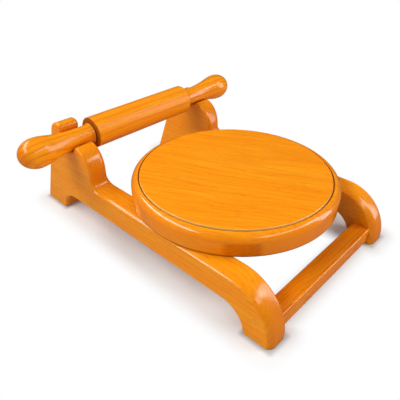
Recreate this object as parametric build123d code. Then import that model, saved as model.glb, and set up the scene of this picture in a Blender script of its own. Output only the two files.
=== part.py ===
from build123d import *
import os
from math import cos, radians, sin, sqrt, tan

# Round rolling board on two wooden side rails, with a rolling pin that lies in slots at the
# back and lifts out. Millimetres. X runs along the pin, +Y to the back and +Z up. The origin
# is on the surface that the feet stand on, under the middle of the pin and midway along the
# rails.

# Clearances
glue_gap = 0.1        # radial room round dowels, screws, bushes and the rod's glued ends
running_gap = 0.05    # radial room of the rod in its bushes and washers
seat_gap = 0.3        # least room between the pin's necks and the slots they lie in
end_float = 0.2       # room at each face of the thin washers
glue_well = 1.0       # room beyond the end of each dowel and of the rod
overrun = 1.0         # how far a cutting tool runs past the face it cuts

# Rolling board
board_radius = 125.0
board_thickness = 28.2
rim_width = 10.2          # beside the raised flat rolling face
rim_radius = 9.0
face_step = 1.2           # the face stands this much above the rim
face_edge = 0.5
board_foot_radius = 1.8

# Rails, seen from the side
rail_inset = 3.5          # each rail's outer face is this far inside the board's edge
rail_thickness = 27.0
bar_top = 61.8
arch_height = 29.5
front_foot_length = 34.7
rear_foot_length = 46.0
nose_spring = 5.3         # the nose's curve starts this high
outer_edge_radius = 3.6
inner_edge_radius = 4.0
board_setback = 24.5      # from the rails' front to the board's edge
board_to_slot = 43.1      # from the board's edge to the slot's middle
slot_to_back = 77.9       # from the slot's middle to the back of the rear foot
back_lean = 20.46         # degrees from upright, towards the front

# Horns on each rail. The rails are cut by hand, and the right one's horns are lower.
left_horn_width = 42.1    # from the front horn's face to the slot's middle
right_horn_width = 40.9
left_brow_to_slot = 9.6   # from the middle of the front horn's curve to the slot's middle
right_brow_to_slot = 2.9
left_front_rise = 50.2    # of the front horn above the bar
right_front_rise = 44.7
left_rear_rise = 67.2     # of the rear horn above the bar
right_rear_rise = 51.7
horn_root_radius = 12.0
lip_radius = 4.3
rear_horn_front_radius = 5.5
rear_horn_back_radius = 14.0
slot_rise = 38.1          # of the slot's bottom above the bar
slot_room = 0.1           # the slot's radius beyond the neck and its least room
slot_lean = 24.0          # degrees from upright, towards the front
root_share = 0.95         # most that a horn's round root takes of its upright face
corner_share = 0.6        # most that a horn's round corner takes of the wall beside it
edge_share = 0.95         # most that a rounded edge takes of the least corner it goes round

# Front stretcher and its dowels
stretcher_depth = 21.5
stretcher_height = 20.7
stretcher_lift = 2.6
stretcher_from_front = 8.4
stretcher_edge = 1.2
dowel_radius = 3.0
dowel_in_rail = 14.0
dowel_in_stretcher = 16.0
dowel_spacing = 9.6
dowel_chamfer = 0.8

# Screws that hold the board to the rails, from below
screw_spacing = 70.0
screw_radius = 2.4
screw_head_radius = 4.5
screw_head_height = 3.2
screw_point = 6.0
screw_slot_width = 1.2
screw_slot_depth = 1.4
screw_bite = 15.7         # length in the board
counterbore_depth = 8.0
counterbore_room = 1.0    # round the screw's head
pilot_room = 1.5          # hole left beyond the screw's point

# Rolling pin
pin_offset = 5.0          # the pin lies this much to the left of the stand's middle
barrel_radius = 19.8
barrel_end_room = 14.1    # between each end of a centred barrel and its rail
barrel_edge = 1.2
barrel_bore_room = 1.0    # round the rod, between the bushes
handle_length = 97.2
collar_flare = 1.4        # the collar's radius beyond the waist's
collar_length = 7.8
collar_edge = 0.8
waist_radius = 11.9
waist_length = 11.0
bulb_radius = 18.3
bulb_cap = 22.4           # from the bulb's widest place to the handle's tip
swell_share = 0.75        # where the hollow curve turns round, from the waist to the bulb
rod_radius = 4.0
rod_in_handle = 45.0
rod_chamfer = 0.8
bush_wall = 4.0
bush_length = 14.0
flange_width = 3.5
flange_thickness = 1.5
washer_width = 6.0
washer_thickness = 0.8

# Places worked out from the sizes above
board_from_front = board_setback + board_radius
slot_from_front = board_from_front + board_radius + board_to_slot
rail_length = slot_from_front + slot_to_back
front = -rail_length / 2
rail_outer = board_radius - rail_inset
rail_inner = rail_outer - rail_thickness
rail_middle = rail_outer - rail_thickness / 2
board_y = front + board_from_front
face_radius = board_radius - rim_width
screw_seat = arch_height + counterbore_depth
screw_tip = bar_top + screw_bite
screw_places = [
    (side * rail_middle, board_y + end * screw_spacing / 2) for side in (-1, 1) for end in (-1, 1)
]
dowel_y = front + stretcher_from_front + stretcher_depth / 2
dowel_z = stretcher_lift + stretcher_height / 2
dowel_places = [
    (side * rail_inner, dowel_y + end * dowel_spacing / 2) for side in (-1, 1) for end in (-1, 1)
]

barrel_length = 2 * (rail_inner - barrel_end_room)
bush_radius = rod_radius + running_gap + bush_wall
flange_radius = bush_radius + flange_width
washer_room = washer_thickness + 2 * end_float
collar_x = barrel_length / 2 + washer_room
collar_radius = waist_radius + collar_flare
waist_end = collar_length + waist_length
bulb_place = handle_length - bulb_cap
swell_length = bulb_place - waist_end
swell_rise = bulb_radius - waist_radius
swell_radius = swell_share * (swell_length**2 + swell_rise**2) / (2 * swell_rise)


def neck_radius(from_collar):
    """The handle's radius in the hollow curve between its waist and its bulb."""
    past_waist = max(from_collar - waist_end, 0)
    return waist_radius + swell_radius - sqrt(swell_radius**2 - past_waist**2)


seat_radius = neck_radius(rail_outer + pin_offset - outer_edge_radius - collar_x)
slot_radius = seat_radius + seat_gap + slot_room
slot_height = bar_top + slot_rise + slot_radius
slot_along = Vector(-sin(radians(slot_lean)), cos(radians(slot_lean)))
slot_across = Vector(slot_along.Y, -slot_along.X)
pin_y = front + slot_from_front - slot_room * slot_along.X
pin_z = slot_height - slot_room * slot_along.Y


def rail_profile(horn_width, brow_to_slot, front_rise, rear_rise):
    """A rail's side view, distance from the front against height, and its least round corner."""
    front_horn_height = bar_top + front_rise
    horn_from_front = slot_from_front - horn_width
    brow_radius = horn_width - brow_to_slot
    slot = Vector(slot_from_front, slot_height)
    brow = Vector(slot_from_front - brow_to_slot, front_horn_height - brow_radius)
    root_radius = min(horn_root_radius, root_share * (brow.Y - bar_top))
    rear_height = bar_top + rear_rise
    rear_corner = Vector(rail_length - rear_height * tan(radians(back_lean)), rear_height)
    rear_foot = rail_length - rear_foot_length
    nose_radius = bar_top - nose_spring

    nose = CenterArc((nose_radius, nose_spring), nose_radius, 180, -90)
    root = CenterArc((horn_from_front - root_radius, bar_top + root_radius), root_radius, -90, 90)
    brow_curve = CenterArc(brow, brow_radius, 180, -90)
    rear_arch = CenterArc((rear_foot - arch_height, 0), arch_height, 0, 90)
    front_arch = CenterArc((front_foot_length + arch_height, 0), arch_height, 90, 90)
    outline = [
        Line((0, 0), nose @ 0), nose,
        Line(nose @ 1, root @ 0), root,
        Line(root @ 1, brow_curve @ 0), brow_curve,
        Line(brow_curve @ 1, (slot.X, front_horn_height)),
        Line((slot.X, front_horn_height), (slot.X, rear_height)),
        Line((slot.X, rear_height), rear_corner),
        Line(rear_corner, (rail_length, 0)),
        Line((rail_length, 0), rear_arch @ 0), rear_arch,
        Line(rear_arch @ 1, front_arch @ 0), front_arch,
        Line(front_arch @ 1, (0, 0)),
    ]
    reach = rear_height
    slot_cut = Circle(slot_radius) + Pos(0, reach / 2) * Rectangle(2 * slot_radius, reach)
    profile = make_face(outline) - Pos(slot.X, slot.Y) * Rot(0, 0, slot_lean) * slot_cut

    # The lip is where the slot's front wall leaves the brow of the front horn, and the hook is
    # where its back wall meets the rear horn's top. On a low horn they lie below the straight
    # walls, on the slot's round bottom, and then that limits the corner's radius.
    wall = slot - slot_across * slot_radius
    to_brow = brow - wall
    along = to_brow.dot(slot_along)
    lip_climb = along + sqrt(brow_radius**2 - to_brow.dot(to_brow) + along**2)
    lip = wall + slot_along * lip_climb
    lip_room = lip_climb if lip_climb > 0 else corner_share * slot_radius
    slot_back = slot + slot_across * slot_radius
    hook_climb = (rear_height - slot_back.Y) / slot_along.Y
    hook = slot_back + slot_along * hook_climb
    hook_room = corner_share * (hook_climb if hook_climb > 0 else slot_radius)
    corners = (
        (lip, min(lip_radius, lip_room)),
        (hook, min(rear_horn_front_radius, hook_room)),
        (rear_corner, min(rear_horn_back_radius, corner_share * (rear_corner.X - hook.X))),
    )
    for corner, radius in corners:
        vertex = profile.vertices().sort_by_distance((corner.X, corner.Y))[0]
        profile = fillet(vertex, radius)
    return profile, min(radius for corner, radius in corners)


def rail(side, *horn_sizes):
    """A side rail; side is -1 on the left and 1 on the right. Its upper edges are rounded."""
    outer_x = side * rail_outer
    inner_x = side * rail_inner
    plane = Plane(origin=(min(inner_x, outer_x), front, 0), x_dir=(0, 1, 0), z_dir=(1, 0, 0))
    profile, least_corner = rail_profile(*horn_sizes)
    body = extrude(plane * profile, rail_thickness)
    for x, radius in ((outer_x, outer_edge_radius), (inner_x, inner_edge_radius)):
        edge = body.edges().sort_by_distance((x, board_y, bar_top))[0]
        body = fillet(edge, min(radius, edge_share * least_corner))
    for x, y in screw_places:
        body -= upright(x, y, 0, screw_seat, screw_head_radius + counterbore_room)
        body -= upright(x, y, 0, bar_top + overrun, screw_radius + glue_gap)
    for x, y in dowel_places:
        reach = dowel_in_rail + glue_well
        body -= lengthwise(x - reach, x + reach, y, dowel_z, dowel_radius + glue_gap)
    return Pos(pin_offset) * body


def upright(x, y, low, high, radius):
    """A round bar along Z, from one height to another."""
    return Pos(x, y, (low + high) / 2) * Cylinder(radius, high - low)


def lengthwise(low, high, y, z, radius):
    """A round bar along X, from one place to another."""
    return Pos((low + high) / 2, y, z) * Rot(0, 90, 0) * Cylinder(radius, high - low)


def rolling_board():
    """The round board: a flat face a step above its rounded rim, and pilot holes below."""
    rim_height = board_thickness - face_step
    rim = Pos(0, board_y, bar_top + rim_height / 2) * Cylinder(board_radius, rim_height)
    rim = fillet(rim.edges().group_by(Axis.Z)[-1], rim_radius)
    rim = fillet(rim.edges().group_by(Axis.Z)[0], board_foot_radius)
    face = upright(0, board_y, bar_top + board_foot_radius, bar_top + board_thickness, face_radius)
    board = rim + fillet(face.edges().group_by(Axis.Z)[-1], face_edge)
    for x, y in screw_places:
        board -= upright(x, y, bar_top - overrun, screw_tip + pilot_room, screw_radius + glue_gap)
    return Pos(pin_offset) * board


def front_stretcher():
    """The square bar between the front feet, bored at both ends for its dowels."""
    bar = Pos(0, dowel_y, dowel_z) * Box(2 * rail_inner, stretcher_depth, stretcher_height)
    bar = fillet(bar.edges().filter_by(Axis.X), stretcher_edge)
    for x, y in dowel_places:
        reach = dowel_in_stretcher + glue_well
        bar -= lengthwise(x - reach, x + reach, y, dowel_z, dowel_radius + glue_gap)
    return Pos(pin_offset) * bar


def stretcher_dowels():
    """Two dowels across each joint between the stretcher and a rail."""
    dowels = []
    for x, y in dowel_places:
        toward_rail = dowel_in_rail if x > 0 else dowel_in_stretcher
        toward_left = dowel_in_stretcher if x > 0 else dowel_in_rail
        dowel = lengthwise(x - toward_left, x + toward_rail, y, dowel_z, dowel_radius)
        dowels.append(Pos(pin_offset) * chamfer(dowel.edges().filter_by(GeomType.CIRCLE), dowel_chamfer))
    return Compound(dowels)


def board_screw(x, y):
    """A slotted wood screw, driven up through a rail into the board."""
    head = upright(x, y, screw_seat - screw_head_height, screw_seat, screw_head_radius)
    slot_y = 2 * (screw_head_radius + overrun)
    slot = Box(screw_slot_width, slot_y, 2 * screw_slot_depth)
    head -= Pos(x, y, screw_seat - screw_head_height) * slot
    shank = upright(x, y, screw_seat, screw_tip - screw_point, screw_radius)
    point = Cone(screw_radius, 0, screw_point, align=(Align.CENTER, Align.CENTER, Align.MIN))
    return Pos(pin_offset) * (head + shank + Pos(x, y, screw_tip - screw_point) * point)


def pin_barrel():
    """The revolving barrel, bored for the rod and recessed for a flanged bush at each end."""
    end = barrel_length / 2
    barrel = lengthwise(-end, end, pin_y, pin_z, barrel_radius)
    barrel = fillet(barrel.edges().filter_by(GeomType.CIRCLE), barrel_edge)
    bore_radius = rod_radius + barrel_bore_room
    barrel -= lengthwise(-end - overrun, end + overrun, pin_y, pin_z, bore_radius)
    for side in (-1, 1):
        outside = side * (end + overrun)
        for depth, radius in ((bush_length, bush_radius), (flange_thickness, flange_radius)):
            inside = side * (end - depth)
            low, high = sorted((inside, outside))
            barrel -= lengthwise(low, high, pin_y, pin_z, radius + glue_gap)
    return barrel


def bush(side):
    """A flanged bush, flush with the barrel's end."""
    end = barrel_length / 2
    ring = lengthwise(end - bush_length, end, 0, 0, bush_radius)
    ring += lengthwise(end - flange_thickness, end, 0, 0, flange_radius)
    ring -= lengthwise(0, end + overrun, 0, 0, rod_radius + running_gap)
    return on_pin(side, ring)


def washer(side):
    """A thin washer between a bush and its handle's collar."""
    near = barrel_length / 2 + end_float
    hole = rod_radius + running_gap
    ring = lengthwise(near, near + washer_thickness, 0, 0, hole + washer_width)
    ring -= lengthwise(near - overrun, near + washer_thickness + overrun, 0, 0, hole)
    return on_pin(side, ring)


def handle(side):
    """A turned handle: collar, waist, hollow curve, bulb and round cap, bored for the rod."""
    turn = (
        waist_end + swell_share * swell_length,
        waist_radius + swell_share * swell_rise,
    )
    outline = [
        Line((0, 0), (0, collar_radius)),
        TangentArc((collar_length, waist_radius), (0, collar_radius), tangent=(-1, 0)),
        Line((collar_length, waist_radius), (waist_end, waist_radius)),
        TangentArc((waist_end, waist_radius), turn, tangent=(1, 0)),
        TangentArc((bulb_place, bulb_radius), turn, tangent=(-1, 0)),
        EllipticalCenterArc((bulb_place, 0), bulb_cap, bulb_radius, 0, arc_size=90),
        Line((handle_length, 0), (0, 0)),
    ]
    profile = make_face(outline)
    corner = profile.vertices().sort_by_distance((0, collar_radius))[0]
    body = Pos(collar_x) * revolve(fillet(corner, collar_edge), Axis.X)
    body -= lengthwise(0, collar_x + rod_in_handle + glue_well, 0, 0, rod_radius + glue_gap)
    return on_pin(side, body)


def pin_rod():
    """The steel rod on which the barrel turns, glued into both handles."""
    end = collar_x + rod_in_handle
    rod = lengthwise(-end, end, pin_y, pin_z, rod_radius)
    return chamfer(rod.edges().filter_by(GeomType.CIRCLE), rod_chamfer)


def on_pin(side, piece):
    """Puts a piece made on the +X axis onto the pin's axis, turned round for the left side."""
    return Pos(0, pin_y, pin_z) * Rot(0, 0, 0 if side > 0 else 180) * piece


pieces = {
    "rolling_board": rolling_board(),
    "left_rail": rail(-1, left_horn_width, left_brow_to_slot, left_front_rise, left_rear_rise),
    "right_rail": rail(
        1, right_horn_width, right_brow_to_slot, right_front_rise, right_rear_rise
    ),
    "front_stretcher": front_stretcher(),
    "stretcher_dowels": stretcher_dowels(),
    "board_screws": Compound([board_screw(x, y) for x, y in screw_places]),
    "pin_barrel": pin_barrel(),
    "left_bush": bush(-1),
    "right_bush": bush(1),
    "left_washer": washer(-1),
    "right_washer": washer(1),
    "left_handle": handle(-1),
    "right_handle": handle(1),
    "pin_rod": pin_rod(),
}

os.makedirs("parts", exist_ok=True)
for name, piece in pieces.items():
    export_step(piece, f"parts/{name}.step")
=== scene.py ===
import logging
import math
from dataclasses import dataclass, field, replace
from enum import Enum

import bmesh
import bpy
import numpy as np
from mathutils import Matrix, Vector


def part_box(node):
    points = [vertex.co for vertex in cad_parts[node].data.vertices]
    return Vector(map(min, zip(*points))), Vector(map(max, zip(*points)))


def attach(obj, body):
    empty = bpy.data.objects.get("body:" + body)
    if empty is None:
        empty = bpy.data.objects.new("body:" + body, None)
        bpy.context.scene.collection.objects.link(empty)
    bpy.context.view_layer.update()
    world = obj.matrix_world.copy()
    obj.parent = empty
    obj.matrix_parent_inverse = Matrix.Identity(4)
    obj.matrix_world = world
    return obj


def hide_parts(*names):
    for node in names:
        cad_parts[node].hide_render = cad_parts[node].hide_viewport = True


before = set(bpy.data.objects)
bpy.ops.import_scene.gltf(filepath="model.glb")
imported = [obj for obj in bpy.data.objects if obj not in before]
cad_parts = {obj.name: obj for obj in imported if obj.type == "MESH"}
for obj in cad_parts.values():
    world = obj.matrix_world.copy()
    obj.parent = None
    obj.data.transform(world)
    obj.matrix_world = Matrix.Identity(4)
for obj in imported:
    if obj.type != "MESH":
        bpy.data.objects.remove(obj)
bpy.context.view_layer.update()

log = logging.getLogger("rolling_board")

MM = 0.001
FLAT = 0.9999                 # of a unit normal along an axis: the face is square to it
CORNER = math.radians(50)     # faces that meet at more than this keep a sharp edge
SAME_PLACE = 1e-6             # points closer than this, in metres, are made one

Colour = tuple[float, float, float]
Place = tuple[float, float, float]
Point = tuple[float, float]
Socket = bpy.types.NodeSocket


class Body(Enum):
    """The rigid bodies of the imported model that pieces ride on."""

    STAND = "stand"
    PIN = "pin"
    BARREL = "barrel"


class Slot(Enum):
    """The record's material slots that the finishes name; nothing here reads them."""

    BOARD = "board_wood"
    RAIL = "rail_wood"
    STRETCHER = "stretcher_wood"
    PIN = "pin_wood"


class Side(Enum):
    """Left and right, seen from the front; the value is the sign of X."""

    LEFT = -1
    RIGHT = 1


# Shader building


class Signal:
    """A number in a material's nodes that Python's own operators work on."""

    def __init__(self, shader: "Shader", socket: Socket) -> None:
        """Keeps the shader that owns the socket, and the socket."""
        self.shader = shader
        self.socket = socket

    def _maths(self, operation: str, *values: object) -> "Signal":
        """Adds one Math node for an operation on some values."""
        node = self.shader.node("ShaderNodeMath", {"operation": operation}, dict(enumerate(values)))
        return Signal(self.shader, node.outputs[0])

    def __add__(self, other: object) -> "Signal":
        """self + other."""
        return self._maths("ADD", self, other)

    __radd__ = __add__

    def __sub__(self, other: object) -> "Signal":
        """self - other."""
        return self._maths("SUBTRACT", self, other)

    def __rsub__(self, other: object) -> "Signal":
        """other - self."""
        return self._maths("SUBTRACT", other, self)

    def __mul__(self, other: object) -> "Signal":
        """self * other."""
        return self._maths("MULTIPLY", self, other)

    __rmul__ = __mul__

    def __pow__(self, other: object) -> "Signal":
        """self ** other."""
        return self._maths("POWER", self, other)

    def __abs__(self) -> "Signal":
        """The size of self without its sign."""
        return self._maths("ABSOLUTE", self)

    def sine(self) -> "Signal":
        """The sine of self, in radians."""
        return self._maths("SINE", self)

    def root(self) -> "Signal":
        """The square root of self."""
        return self._maths("SQRT", self)

    def least(self, other: object) -> "Signal":
        """The smaller of self and other."""
        return self._maths("MINIMUM", self, other)

    def positive(self) -> "Signal":
        """Self where it is above 0, and else 0."""
        return self._maths("MAXIMUM", self, 0.0)

    def between(self, low: float, high: float) -> "Signal":
        """A smooth rise, from 0 where self is low to 1 where it is high."""
        node = self.shader.node(
            "ShaderNodeMapRange", {"interpolation_type": "SMOOTHSTEP"},
            {"Value": self, "From Min": low, "From Max": high},
        )
        return Signal(self.shader, node.outputs[0])


class Shader:
    """A node tree under construction, of a material or of the world."""

    def __init__(self, owner: bpy.types.ID) -> None:
        """Empties the owner's tree and adds its output.

        Args:
            owner: the material or the world.
        """
        owner.use_nodes = True
        self.owner = owner
        self.tree = owner.node_tree
        self.tree.nodes.clear()
        kind = "World" if isinstance(owner, bpy.types.World) else "Material"
        self.output = self.node(f"ShaderNodeOutput{kind}").inputs["Surface"]

    def node(
        self, kind: str, settings: dict[str, object] | None = None,
        inputs: dict[object, object] | None = None,
    ) -> bpy.types.Node:
        """Adds a node.

        Args:
            kind: the node's type name.
            settings: properties that are set first.
            inputs: values, sockets or signals by input name or number.

        Returns:
            The new node.
        """
        node = self.tree.nodes.new(kind)
        for key, value in (settings or {}).items():
            setattr(node, key, value)
        for key, value in (inputs or {}).items():
            self.feed(node.inputs[key], value)
        return node

    def feed(self, socket: Socket, value: object) -> None:
        """Links a socket, or sets it to a plain value; a colour gets its alpha here.

        Args:
            socket: the input socket.
            value: a signal, a socket, a number, a vector or a colour.
        """
        if isinstance(value, Signal):
            value = value.socket
        if isinstance(value, Socket):
            self.tree.links.new(value, socket)
        elif socket.type == "RGBA":
            socket.default_value = (*value, 1.0)
        else:
            socket.default_value = value

    def vector(self, operation: str, *values: object) -> Socket:
        """The vector that one Vector Math node gives."""
        node = self.node("ShaderNodeVectorMath", {"operation": operation}, dict(enumerate(values)))
        return node.outputs["Vector"]

    def number(self, operation: str, *values: object) -> Signal:
        """The number that one Vector Math node gives, such as a length."""
        node = self.node("ShaderNodeVectorMath", {"operation": operation}, dict(enumerate(values)))
        return Signal(self, node.outputs["Value"])

    def parts(self, vector: object) -> list[Signal]:
        """A vector's X, Y and Z."""
        split = self.node("ShaderNodeSeparateXYZ", {}, {0: vector})
        return [Signal(self, output) for output in split.outputs]

    def mix(self, factor: object, low: object, high: object) -> Socket:
        """A colour between two colours.

        Args:
            factor: 0 gives the low colour and 1 the high one.
            low: a colour or a socket.
            high: a colour or a socket.

        Returns:
            The colour's socket.
        """
        node = self.node("ShaderNodeMix", {"data_type": "RGBA"})
        for key, value in (("Factor_Float", factor), ("A_Color", low), ("B_Color", high)):
            self.feed(next(s for s in node.inputs if s.identifier == key), value)
        return next(s for s in node.outputs if s.identifier == "Result_Color")

    def principled(self, values: dict[str, object]) -> Socket:
        """A Principled BSDF with the values or links of its sockets."""
        return self.node("ShaderNodeBsdfPrincipled", {}, values).outputs["BSDF"]

    def bump(self, height: object, distance: float) -> Socket:
        """The normal that a Bump node makes from a height and its distance in metres."""
        return self.node("ShaderNodeBump", {}, {"Height": height, "Distance": distance}).outputs[0]

    def for_ray(self, ray: str, share: object, seen: Socket, kind: str, level: float) -> Socket:
        """Shows a plain glow to one kind of ray.

        Args:
            ray: the Light Path node's name for the kind of ray.
            share: how much of the glow that ray sees.
            seen: what the other rays see.
            kind: the type name of the node that glows.
            level: the glow's grey level, where 1 is white.

        Returns:
            What all rays see.
        """
        path = self.node("ShaderNodeLightPath").outputs[ray]
        glow = self.node(kind, {}, {"Color": (level,) * 3}).outputs[0]
        factor = Signal(self, path) * share
        return self.node("ShaderNodeMixShader", {}, {0: factor, 1: seen, 2: glow}).outputs[0]


@dataclass(frozen=True)
class Marks:
    """Perlin noise drawn out along X, in the units of the place that it is drawn on."""

    length: float
    width: float
    detail: float = 2.0
    roughness: float = 0.5
    start: float = 0.0     # noise level at which the marks begin to show
    full: float = 1.0      # and at which they show fully

    def noise(self, shader: Shader, place: Socket) -> Signal:
        """The noise itself, between about 0 and 1.

        Args:
            shader: the material under construction.
            place: where each point of the surface lies.

        Returns:
            The noise.
        """
        scaled = shader.vector("MULTIPLY", place, (1 / self.length, 1 / self.width, 1 / self.width))
        node = shader.node(
            "ShaderNodeTexNoise", {},
            {"Vector": scaled, "Scale": 1.0, "Detail": self.detail, "Roughness": self.roughness},
        )
        return Signal(shader, node.outputs["Fac"])

    def shown(self, noise: Signal) -> Signal:
        """How much the marks show, from 0 to 1."""
        return noise.between(self.start, self.full)


@dataclass(frozen=True)
class ShadePatch:
    """A soft-edged block of another colour, in millimetres, which the board uses to paint shade onto
    the wood.
    """

    middle: Place
    half_size: Place
    colour: Colour
    core_share: float = 0.55    # of the half sizes, past which the block fades

    def cover(self, shader: Shader, place: Socket) -> Signal:
        """1 near the block's middle and 0 past its half sizes.

        Args:
            shader: the material under construction.
            place: where each point of the surface lies.

        Returns:
            How much the block covers.
        """
        offset = shader.vector("DIVIDE", shader.vector("SUBTRACT", place, self.middle), self.half_size)
        across, along, up = (
            1 - abs(part).between(self.core_share, 1.0) for part in shader.parts(offset)
        )
        return across * along * up


@dataclass(frozen=True)
class Circle:
    """A line of another colour round an upright axis, in millimetres; the board paints a highlight
    line and a shade line with it.
    """

    centre: Point
    radius: float
    colour: Colour
    width: float = 1.4
    core_share: float = 0.4     # of the width, on each side of the line's middle
    edge_share: float = 0.7
    top: float | None = None    # above this height there is no line
    top_fade: float = 0.2

    def cover(self, shader: Shader, place: Socket) -> Signal:
        """1 on the line and 0 beyond its width.

        Args:
            shader: the material under construction.
            place: where each point of the surface lies.

        Returns:
            How much the line covers.
        """
        flat = shader.vector("MULTIPLY", place, (1.0, 1.0, 0.0))
        distance = shader.number("LENGTH", shader.vector("SUBTRACT", flat, (*self.centre, 0.0)))
        off_line = abs(distance - self.radius)
        line = 1 - off_line.between(self.core_share * self.width, self.edge_share * self.width)
        if self.top is None:
            return line
        height = shader.parts(place)[2]
        return line * (1 - height.between(self.top - self.top_fade, self.top))


@dataclass(frozen=True)
class VarnishedWood:
    """Clear-varnished honey-coloured wood with its grain along one direction.

    Lengths are in millimetres, colours are linear.
    """

    name: str
    slot: Slot
    grain_angle: float = 0.0          # of the grain from +X, in degrees, seen from above
    seed: Place = (0.0, 0.0, 0.0)
    pale: Colour = (0.94, 0.345, 0.008)
    warm: Colour = (0.93, 0.295, 0.004)
    deep: Colour = (0.74, 0.140, 0.001)
    pore: Colour = (0.50, 0.080, 0.001)
    end: Colour = (0.60, 0.110, 0.001)
    bands: Marks = Marks(190.0, 15.0, 3.0, 0.55, 0.32, 0.68)
    streaks: Marks = Marks(50.0, 1.5, start=0.45, full=0.80)
    fibres: Marks = Marks(38.0, 0.55, 3.0, 0.6, 0.45, 0.85)
    pores: Marks = Marks(9.0, 0.8, 1.0, 0.4, 0.62, 0.76)
    waves: Marks = Marks(34.0, 13.0)
    ring_bend: Marks = Marks(170.0, 70.0)
    ring_ripple: Marks = Marks(60.0, 9.0)
    ring_pitch: float = 4.2
    ring_centre: Point = (38.0, -46.0)
    ring_weight: float = 0.24
    ring_warp: float = 26.0
    ring_depth_share: float = 0.6     # of the warp, in the direction down into the wood
    ripple_height: float = 3.0
    late_wood: float = 3.0            # the higher, the narrower a ring's dark part
    fibre_weight: float = 0.42
    pore_weight: float = 0.45
    end_weight: float = 0.55
    end_facing: Point = (0.25, 1.0)   # how squarely the grain is cut where end grain shows
    roughness: float = 0.30
    roughness_swing: float = 0.10
    coat: float = 1.0
    coat_roughness: float = 0.11
    coat_ior: float = 1.45
    flat_coat: float | None = None    # on faces that look straight up, where it differs
    flat_facing: Point = (0.96, 0.995)
    specular: float = 0.12
    sheen_colour: Colour = (1.0, 0.72, 0.42)
    wave_height: float = 0.015
    fibre_height: float = 0.012
    pore_depth: float = 0.02
    # painted shade blocks, and painted lines of highlight and shade; only the board has them
    shade_patches: tuple[ShadePatch, ...] = ()
    shade_patch_weight: float = 0.6
    circles: tuple[Circle, ...] = ()

    def material(self) -> bpy.types.Material:
        """Builds the material.

        Returns:
            The finished material, patterned in Object coordinates.
        """
        shader = Shader(bpy.data.materials.new(self.name))
        source = shader.node("ShaderNodeTexCoord").outputs
        to_mm = (1 / MM,) * 3
        place = shader.vector("MULTIPLY", source["Object"], to_mm)
        grain = shader.node(
            "ShaderNodeMapping", {"vector_type": "POINT"},
            {"Vector": source["Object"], "Location": self.seed,
             "Rotation": (0.0, 0.0, -math.radians(self.grain_angle)), "Scale": to_mm},
        ).outputs["Vector"]
        bands, streaks, fibres, waves = (
            marks.noise(shader, grain)
            for marks in (self.bands, self.streaks, self.fibres, self.waves)
        )
        pores = self.pores.shown(self.pores.noise(shader, grain))

        layers = [
            (self._rings(shader, grain), self.ring_weight, self.deep),
            (self.streaks.shown(streaks), self.fibre_weight, self.deep),
            (self.fibres.shown(fibres), self.fibre_weight, self.deep),
            (pores, self.pore_weight, self.pore),
            (self._end_grain(shader, source["Normal"]), self.end_weight, self.end),
        ]
        # painted shade: the shade patches darken the colour where they lie
        layers += [
            (patch.cover(shader, place) * (0.5 + streaks), self.shade_patch_weight, patch.colour)
            for patch in self.shade_patches
        ]
        # painted lines: a painted highlight and a painted groove shade
        layers += [(circle.cover(shader, place), 1.0, circle.colour) for circle in self.circles]
        colour = shader.mix(self.bands.shown(bands), self.pale, self.warm)
        for cover, weight, other in layers:
            colour = shader.mix(cover * weight, colour, other)

        height = waves * self.wave_height + fibres * self.fibre_height - pores * self.pore_depth
        coat = self.coat
        if self.flat_coat is not None:
            level = shader.parts(source["Normal"])[2].between(*self.flat_facing)
            coat = self.coat + level * (self.flat_coat - self.coat)
        surface = shader.principled({
            "Base Color": colour,
            "Roughness": self.roughness + self.roughness_swing * (fibres + pores - 0.5),
            "Normal": shader.bump(height, MM),
            "Specular IOR Level": self.specular,
            "Specular Tint": self.sheen_colour,
            "Coat Weight": coat,
            "Coat Roughness": self.coat_roughness,
            "Coat IOR": self.coat_ior,
        })
        shader.feed(shader.output, surface)
        return shader.owner

    def _rings(self, shader: Shader, grain: Socket) -> Signal:
        """Growth rings: dark late wood at even steps of the distance from a bent centre line.

        Args:
            shader: the material under construction.
            grain: each point's place, with the grain along X.

        Returns:
            0 in the early wood and 1 in the middle of the late wood.
        """
        _, beside, below = shader.parts(grain)
        bend = self.ring_bend.noise(shader, grain) - 0.5
        ripple = self.ring_ripple.noise(shader, grain) - 0.5
        across = beside + bend * self.ring_warp - self.ring_centre[0]
        depth = below - bend * (self.ring_depth_share * self.ring_warp) - self.ring_centre[1]
        distance = (across * across + depth * depth).root() + ripple * self.ripple_height
        wave = (distance * (2 * math.pi / self.ring_pitch)).sine()
        return (wave * 0.5 + 0.5) ** self.late_wood

    def _end_grain(self, shader: Shader, normal: Socket) -> Signal:
        """How squarely the surface cuts the grain.

        Args:
            shader: the material under construction.
            normal: the surface's own normal.

        Returns:
            1 on end grain and 0 along the grain.
        """
        grain = (*direction(self.grain_angle), 0.0)
        return abs(shader.number("DOT_PRODUCT", normal, grain)).between(*self.end_facing)


@dataclass(frozen=True)
class PlainFinish:
    """One plain stuff with fine marks, in metres: bare wood, turned steel or moulded plastic."""

    name: str
    marks: Marks
    first: Colour
    second: Colour
    roughness: Point             # where there is no mark, and what a mark adds
    mark_depth: float
    stains: Marks | None = None  # of the colour, where it doesn't follow the marks
    metallic: float = 0.0

    def material(self) -> bpy.types.Material:
        """Builds the material.

        Returns:
            The finished material, patterned in Object coordinates.
        """
        shader = Shader(bpy.data.materials.new(self.name))
        place = shader.node("ShaderNodeTexCoord").outputs["Object"]
        marks = self.marks.noise(shader, place)
        stains = self.stains.noise(shader, place) if self.stains else marks
        least, swing = self.roughness
        shader.feed(shader.output, shader.principled({
            "Base Color": shader.mix(stains, self.first, self.second),
            "Roughness": least + swing * marks,
            "Normal": shader.bump(marks, self.mark_depth),
            "Metallic": self.metallic,
        }))
        return shader.owner


# Mesh building


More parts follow.
